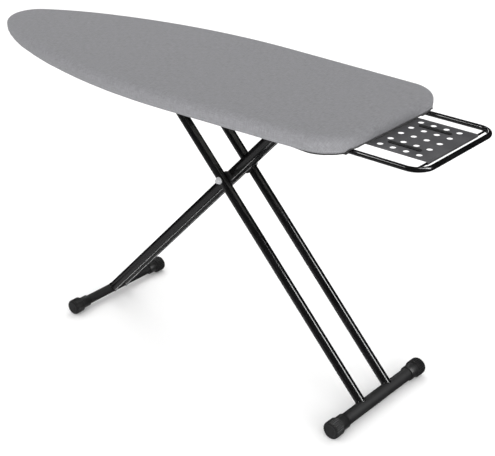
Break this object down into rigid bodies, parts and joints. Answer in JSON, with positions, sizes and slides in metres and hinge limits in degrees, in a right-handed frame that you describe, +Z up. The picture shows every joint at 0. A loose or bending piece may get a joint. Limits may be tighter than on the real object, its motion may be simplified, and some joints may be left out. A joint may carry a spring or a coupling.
{
  "type": "ironing board",
  "caption": "Folding ironing board with a padded tapered top on scissor tube legs, an under-board height lever and a perforated iron rest that slides out of the square end.",
  "frame": {"origin": "on the floor, halfway along between the nose and the iron rest's front bar, on the centre line", "axes": "+X along the board towards its square end and iron rest, +Z up, +Y towards the side with the height lever"},
  "size_m": [1.419, 0.4668, 0.758],
  "materials": {
    "cover_cloth": "heather grey woven cotton blend, soft matt",
    "felt": "needle-punched felt",
    "deck_steel": "grey powder-coated punched sheet",
    "bright_steel": "bright plated steel",
    "black_plastic": "moulded matt black",
    "silicone": "matt black silicone",
    "grey_enamel": "satin dark grey enamel",
    "zinc_steel": "zinc-plated sheet steel",
    "black_enamel": "gloss black powder coat"
  },
  "bodies": {
    "board": {"cover": "cover_cloth", "felt_pad": "felt", "perforated_deck": "deck_steel", "rim": "black_enamel", "front_brace": "black_enamel", "rear_brace": "black_enamel", "hinge_brace": "black_enamel", "slide_rail_near": "black_enamel", "slide_rail_far": "black_enamel", "hinge_bracket_near": "black_enamel", "hinge_bracket_far": "black_enamel", "hinge_pin": "bright_steel", "tray_guide_front_near": "black_plastic", "tray_guide_front_far": "black_plastic", "tray_guide_rear_near": "black_plastic", "tray_guide_rear_far": "black_plastic", "lever_pin": "bright_steel", "lever_bracket": "black_enamel", "lever_spring": "bright_steel"},
    "lever": {"locking_strip": "zinc_steel", "lever_rod": "black_enamel", "lever_grip": "black_plastic"},
    "iron_rest": {"tray_frame": "black_enamel", "tray_front_rod": "black_enamel", "tray_rear_rod": "black_enamel", "rest_plate": "grey_enamel", "rest_strip_near": "silicone", "rest_strip_far": "silicone", "rail_stop_near": "black_plastic", "rail_stop_far": "black_plastic"},
    "inner_leg": {"inner_tube_near": "black_enamel", "inner_tube_far": "black_enamel", "hinge_cross_tube": "black_enamel", "hinge_bush_near": "black_plastic", "hinge_bush_far": "black_plastic", "inner_foot_bar": "black_enamel", "inner_foot_cap_near": "black_plastic", "inner_foot_cap_far": "black_plastic", "pivot_block": "black_plastic", "pivot_bolt": "bright_steel", "pivot_nut_near": "bright_steel", "pivot_nut_far": "bright_steel", "pivot_washers": "bright_steel", "pivot_spacer_near": "black_plastic", "pivot_spacer_far": "black_plastic"},
    "outer_leg": {"outer_tube_near": "black_enamel", "outer_tube_far": "black_enamel", "tube_plug_near": "black_plastic", "tube_plug_far": "black_plastic", "crossbar": "black_enamel", "crossbar_roller_near": "black_plastic", "crossbar_roller_far": "black_plastic", "outer_foot_bar": "black_enamel", "outer_foot_cap_near": "black_plastic", "outer_foot_cap_far": "black_plastic"}
  },
  "joints": [
    {"name": "leg_fold", "type": "hinge", "parent": "board", "child": "inner_leg", "pos_m": [0.273, 0, 0.698], "axis": [0, 1, 0], "range_deg": [-15.28, 42.52]},
    {"name": "scissor_pivot", "type": "hinge", "parent": "inner_leg", "child": "outer_leg", "pos_m": [0.08104, 0, 0.49416], "axis": [0, 1, 0], "range_deg": [-85.14, 30.66]},
    {"name": "lever_squeeze", "type": "hinge", "parent": "board", "child": "lever", "pos_m": [0.0441, 0.087, 0.6882], "axis": [0, -1, 0], "range_deg": [0, 4], "stiffness_Nm_per_rad": 8, "springref_deg": -5.73, "deforming": ["lever_spring"]},
    {"name": "iron_rest_slide", "type": "slide", "parent": "board", "child": "iron_rest", "axis": [1, 0, 0], "range_m": [-0.13, 0]}
  ],
  "couplings": [
    {"joint": "scissor_pivot", "follows": "leg_fold", "ratio": -2}
  ]
}
